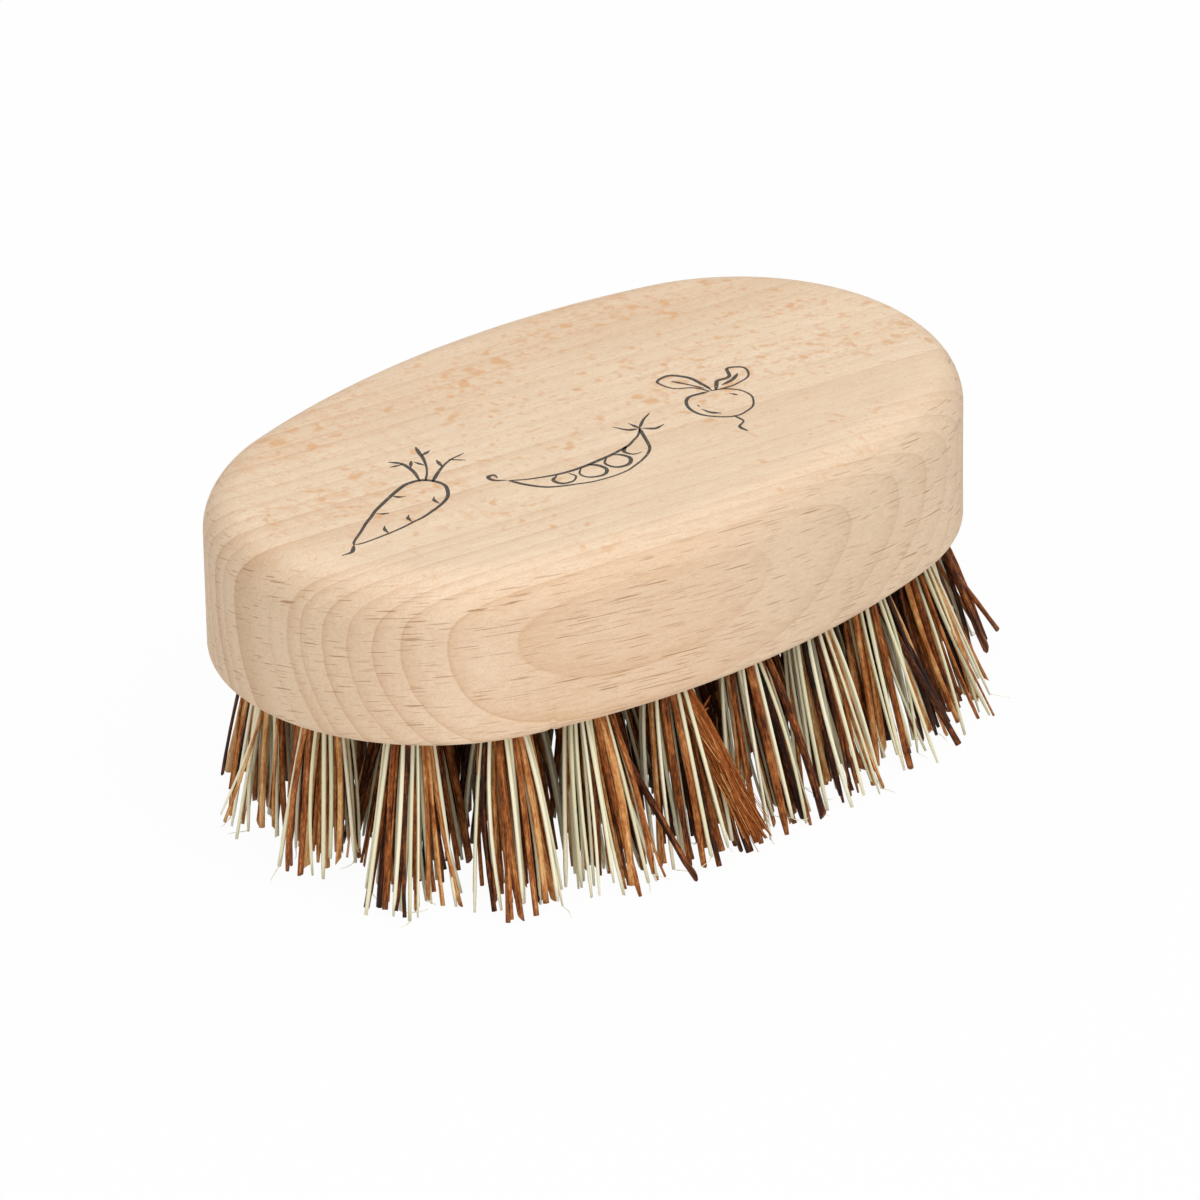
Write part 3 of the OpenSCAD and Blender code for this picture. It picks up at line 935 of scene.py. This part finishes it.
drawingValues = {"line": 0.42, "lift": 0.015, "sunk": 0.05, "ink": shade(52, 50, 47), "seed": 5,
                 "waver": 0.07, "waverEvery": 6, "spacing": 0.25,
                 # how much of the wood the ink covers, from whole to worn places
                 "wornNoise": ((1.6, 6, 3), 3, 0.6), "cover": (0.56, 0.72, 0.96, 0.56),
                 "bump": (0.25, 0.05)}
drawings = [
    {"at": (-30, -2.4), "turn": 10, "size": 1.12, "lines": [
        (-10, -2.2, -6, -3.3, -1, -3.7, 3.5, -3, 5.7, -1.2, 5.9, 0.7, 4.6, 2.2, 1.5, 2.2,
         -3, 1, -7, -0.7, -10, -2.2),
        (-10, -2.2, -11.4, -3, -12.6, -2.8),
        (-5.9, -3.1, -5.6, -2.4, -5, -1.9), (-2.6, -3.5, -2.2, -2.6, -1.5, -2.1),
        (0.6, 1.9, 0.9, 1.2, 1.5, 0.7), (2.2, -3.1, 2.5, -2.2, 3.2, -1.7),
        (-3.3, 0.7, -3, 0.1, -2.4, -0.3),
        (5, 1.8, 6.3, 3.6, 6.9, 5.6, 6.4, 7.2), (5.5, 1.3, 7.7, 3.2, 9.6, 5.4, 10.6, 7.4),
        (5.8, 0.8, 8.3, 1.9, 10.6, 2.6, 12.8, 2.4),
        (6.9, 5.6, 5.6, 6.2), (6.6, 4.4, 8, 5.4), (8.2, 3.8, 8, 5.2), (9.6, 5.4, 11.2, 5.6),
        (8.8, 2.1, 9.8, 3.6), (10.6, 2.6, 11.6, 1.2)]},
    {"at": (-7, -8.4), "turn": -4, "size": 1.08, "lines": [
        (-9.6, 1.4, -6.6, -0.2, -2, -1, 3, -0.6, 7, 0.8, 9, 2.6),
        (-9.6, 1.4, -7.4, -2.2, -3, -4.4, 2, -4.6, 6.4, -2.4, 9, 2.6),
        (-4.6, -0.8, -5.7, -1.6, -5.4, -2.8, -4.2, -3, -3.3, -2.2, -3.5, -1.2),
        (-1.6, -1.1, -2.7, -2.2, -2.3, -3.5, -0.9, -3.9, 0.2, -3, 0, -1.7, -0.8, -1),
        (2, -0.8, 0.9, -1.9, 1.3, -3.2, 2.7, -3.5, 3.8, -2.5, 3.5, -1.3, 2.8, -0.7),
        (5.2, 0.1, 4.3, -0.8, 4.6, -1.9, 5.7, -2),
        (9, 2.6, 7.6, 3.2, 6.9, 4.6), (9, 2.6, 10.2, 1.5, 11.6, 1.6), (9, 2.6, 8.6, 4.4),
        (9, 2.6, 10.4, 4, 12, 5),
        (-9.6, 1.4, -10.8, 2.4, -10.6, 3.4, -9.8, 3.4, -10, 2.6)]},
    {"at": (14.4, -7.6), "turn": -20, "size": 0.98, "lines": [
        (-0.4, 3.2, -3, 2.8, -4.2, 0.6, -3.6, -2, -1.4, -3.7, 0.6, -4, 2.8, -2.6, 3.9, -0.2,
         3.2, 2.2, 1.2, 3.3, -0.4, 3.2),
        (0, -4, 0.5, -5.6, -0.4, -7, 0.1, -8.4),
        (-2.9, -0.9, -2.2, -2.1, -1.1, -2.8), (-3, 0.5, -2.9, 0), (1.6, 1.9, 2.4, 1.1),
        (-0.3, 3.3, -1.8, 5, -4.2, 5.8, -5.2, 8, -3.4, 9, -1.4, 7.8, -0.4, 5.6, 0, 3.4),
        (-0.6, 4.2, -2.2, 6.2, -3.6, 7.6),
        (0.5, 3.3, 1.4, 5.4, 3.2, 6, 4, 8.2, 5.8, 7.8, 5.6, 5.4, 3.4, 4, 1, 3.3),
        (1.6, 4.2, 3.4, 5.2, 4.6, 6.6)]},
]


def smoothLine(line, spacing):  # a smooth curve through the line's points, closed where they close
    points = list(np.array(line, float).reshape(-1, 2))
    closed = len(points) > 3 and np.allclose(points[0], points[-1])
    ends = (points[-2], points[1]) if closed else (2 * points[0] - points[1], 2 * points[-1] - points[-2])
    full = [ends[0]] + points + [ends[1]]
    out = []
    for a, b, c, d in zip(full, full[1:], full[2:], full[3:]):
        steps = max(2, int(np.linalg.norm(c - b) / spacing))
        for k in range(steps):
            t = k / steps
            out.append(0.5 * (2 * b + (c - a) * t + (2 * a - 5 * b + 4 * c - d) * t ** 2
                              + (3 * b - a - 3 * c + d) * t ** 3))
    return np.array(out + [points[-1]])


def handWaver(rng, count, v):
    knots = np.arange(0, count + v["waverEvery"], v["waverEvery"])
    return np.interp(np.arange(count), knots, rng.normal(0, v["waver"], len(knots)))


def makeDrawing(v):
    rng = np.random.RandomState(v["seed"])
    points, faces = [], []
    high, low = blockValues["top"] + v["lift"], blockValues["top"] - v["sunk"]
    corners = ((1, high), (-1, high), (-1, low), (1, low))
    for drawing in drawings:
        turn = radians(drawing["turn"])
        spin = np.array([[cos(turn), -sin(turn)], [sin(turn), cos(turn)]])
        for line in drawing["lines"]:
            path = smoothLine(line, v["spacing"])
            count = len(path)
            path = path + np.c_[handWaver(rng, count, v), handWaver(rng, count, v)]
            path = path * drawing["size"] @ spin.T + drawing["at"]
            along = unitRows(np.gradient(path, axis=0))
            side = np.c_[-along[:, 1], along[:, 0]]
            share = np.linspace(0, 1, count)
            width = v["line"] * (0.9 + 0.3 * np.sin(share * rng.uniform(3, 7) + rng.uniform(0, 6)))
            toEnd = np.clip(np.minimum(share, 1 - share) * count / 3, 0, 1)  # a line thins at both ends
            width *= 0.35 + 0.65 * toEnd
            base = len(points)
            for p, s, w in zip(path, side, width):
                for sign, z in corners:
                    x, y = p + sign * s * w / 2
                    points.append((x * mm, y * mm, z * mm))
            faces += tubeFaces(base, count, len(corners))
    form = bmesh.new()
    spots = ringOf(form, points)
    for face in faces:
        form.faces.new([spots[k] for k in face])
    bmesh.ops.recalc_face_normals(form, faces=form.faces)
    return addObject("printedVegetables", meshFrom(form, "printedVegetables"))


inkMaterial, tree, shader = newMaterial("printedInk", Roughness=0.6, Specular_IOR_Level=0.25)
wood = placeGroup(tree, beechGroup, beechKnobs)
worn = grainNoise(tree, placeInMm(tree), *drawingValues["wornNoise"])
inkCover = band(tree, worn, *drawingValues["cover"])
inkColour = blend(tree, inkCover, wood["Color"], drawingValues["ink"])
dress(tree, shader, drawingValues["bump"], wood["Height"], inkColour)
drawing = makeDrawing(drawingValues)
drawing.data.materials.append(inkMaterial)
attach(drawing, "root")
print("drawing printed")


# the wire anchors keep their own shape, and get drawn steel

wireValues = {"dark": shade(112, 114, 118), "light": shade(186, 188, 192), "bump": (0.2, 0.02),
              "scratch": (1.2, 1.2, 14.0), "roughness": (0.3, 0.25)}
wireMaterial, tree, shader = newMaterial("anchorWire", Metallic=1.0)
scratch = grainNoise(tree, placeInMm(tree), wireValues["scratch"], 3.0)
steel = blend(tree, scratch, wireValues["dark"], wireValues["light"])
roughness = timesPlus(tree, scratch, *wireValues["roughness"])
dress(tree, shader, wireValues["bump"], scratch, steel, roughness)
for row in ("outer", "middle", "centre"):
    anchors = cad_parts["anchors_" + row]
    anchors.data.materials.clear()
    anchors.data.materials.append(wireMaterial)
print("anchors finished")


# floor, light and camera

stageValues = {"floor": 2.4, "white": 0.96, "floorColour": shade(240, 240, 240), "sky": 0.58,
               "key": {"at": (-0.2, -0.75, 1.2), "size": 1.1, "power": 10.3},
               "fill": {"at": (-1.1, -0.6, 0.45), "size": 0.9, "power": 1.5}}


def whereWhiteShows(tree):  # where a camera, gloss or glass ray meets the floor or the sky
    kinds = newNode(tree, "LightPath").outputs
    bounced = calc(tree, "MAXIMUM", kinds["Is Glossy Ray"], kinds["Is Transmission Ray"])
    return calc(tree, "MAXIMUM", kinds["Is Camera Ray"], bounced), kinds["Is Camera Ray"]


def mixShaders(tree, factor, first, second):
    node = newNode(tree, "MixShader")
    for socket, value in zip(node.inputs, (factor, first.outputs[0], second.outputs[0])):
        feed(tree, socket, value)
    return node


def makeFloor(v):
    form = bmesh.new()
    bmesh.ops.create_grid(form, x_segments=4, y_segments=4, size=v["floor"] / 2)
    floor = addObject("whiteTable", meshFrom(form, "whiteTable"))
    material, tree, _ = newMaterial("whiteTable")
    tree.nodes.clear()
    cloth = newNode(tree, "BsdfDiffuse")
    cloth.inputs["Color"].default_value = v["floorColour"]
    glow, clear = newNode(tree, "Emission"), newNode(tree, "BsdfTransparent")
    seen, fromCamera = whereWhiteShows(tree)
    white = mixShaders(tree, times(tree, seen, v["white"]), cloth, glow)
    under = newNode(tree, "NewGeometry").outputs["Backfacing"]
    whole = mixShaders(tree, times(tree, under, fromCamera), white, clear)
    feed(tree, newNode(tree, "OutputMaterial").inputs[0], whole.outputs[0])
    floor.data.materials.append(material)


def makeSky(v):
    world = bpy.data.worlds.new("studio")
    bpy.context.scene.world = world
    world.use_nodes = True
    tree = world.node_tree
    sky = tree.nodes["Background"]
    seen, _ = whereWhiteShows(tree)
    feed(tree, sky.inputs["Strength"], timesPlus(tree, seen, 1 - v["sky"], v["sky"]))
    sky.inputs["Color"].default_value = (1, 1, 1, 1)


def makeLamp(name, v):
    light = bpy.data.lights.new(name, "AREA")
    light.shape = "SQUARE"
    light.size = v["size"]
    light.energy = v["power"]
    lamp = addObject(name, light)
    lamp.location = v["at"]
    lamp.rotation_mode = "QUATERNION"
    lamp.rotation_quaternion = (Vector((0, 0, 0.03)) - Vector(v["at"])).to_track_quat("-Z", "Y")


makeFloor(stageValues)
makeSky(stageValues)
makeLamp("keyLamp", stageValues["key"])
makeLamp("fillLamp", stageValues["fill"])

# a long lens from the front left, turned a little about its own axis
cameraValues = {"azimuth": -40.372, "elevation": 27.301, "roll": 1.037, "distance": 1280.8,
                "aim": (-2.603, -4.969, 21.899), "lens": 328.57}


def makeCamera(v):
    azimuth, elevation, roll = (radians(v[k]) for k in ("azimuth", "elevation", "roll"))
    level = Euler((pi / 2 - elevation, 0, azimuth)).to_quaternion()
    lens = bpy.data.cameras.new("studioCamera")
    lens.lens = v["lens"]
    lens.sensor_width = 36
    lens.clip_start, lens.clip_end = 0.05, 20
    camera = addObject("studioCamera", lens)
    camera.rotation_mode = "QUATERNION"
    camera.rotation_quaternion = level @ Quaternion((0, 0, 1), -roll)
    camera.location = (Vector(v["aim"]) + level @ Vector((0, 0, v["distance"]))) * mm
    bpy.context.scene.camera = camera


makeCamera(cameraValues)
bpy.context.scene.view_settings.view_transform = "Standard"
print("stage ready")
